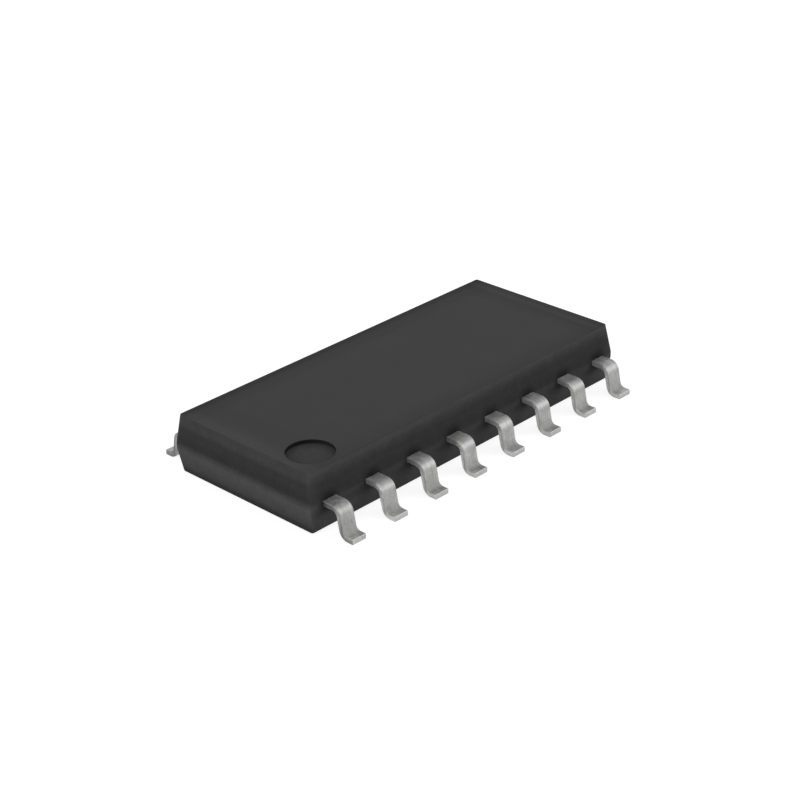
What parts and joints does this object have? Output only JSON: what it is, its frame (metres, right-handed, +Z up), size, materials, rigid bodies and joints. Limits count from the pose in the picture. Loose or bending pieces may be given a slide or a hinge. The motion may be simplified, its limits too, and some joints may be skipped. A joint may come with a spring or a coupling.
{
  "type": "power management chip",
  "caption": "Surface-mount power chip: a low moulded block with gull-wing leads along both long sides and a round pin-one recess on top.",
  "frame": {"origin": "on the seating plane that the feet define, below the middle of the body", "axes": "+X along the body away from the pin-one end, +Y across it away from leads 1 to 8, +Z up"},
  "size_m": [0.01, 0.0062, 0.0015],
  "materials": {
    "mould_compound": "fine matt moulded epoxy, dark grey",
    "tinned_leadframe": "satin tin plating over copper, with faint lengthwise streaks",
    "die_attach": "matt silver-filled adhesive",
    "silicon": "polished silicon with fine circuit fields",
    "bond_wire": "bright drawn wire"
  },
  "bodies": {
    "root": {"bond_wire_01": "bond_wire", "bond_wire_02": "bond_wire", "bond_wire_03": "bond_wire", "bond_wire_04": "bond_wire", "bond_wire_05": "bond_wire", "bond_wire_06": "bond_wire", "bond_wire_07": "bond_wire", "bond_wire_08": "bond_wire", "bond_wire_09": "bond_wire", "bond_wire_10": "bond_wire", "bond_wire_11": "bond_wire", "bond_wire_12": "bond_wire", "bond_wire_13": "bond_wire", "bond_wire_14": "bond_wire", "bond_wire_15": "bond_wire", "bond_wire_16": "bond_wire", "die_attach": "die_attach", "die_pad_and_heat_leads": "tinned_leadframe", "lead_01": "tinned_leadframe", "lead_02": "tinned_leadframe", "lead_03": "tinned_leadframe", "lead_06": "tinned_leadframe", "lead_07": "tinned_leadframe", "lead_08": "tinned_leadframe", "lead_09": "tinned_leadframe", "lead_10": "tinned_leadframe", "lead_11": "tinned_leadframe", "lead_14": "tinned_leadframe", "lead_15": "tinned_leadframe", "lead_16": "tinned_leadframe", "moulded_body": "mould_compound", "silicon_die": "silicon"}
  },
  "joints": []
}
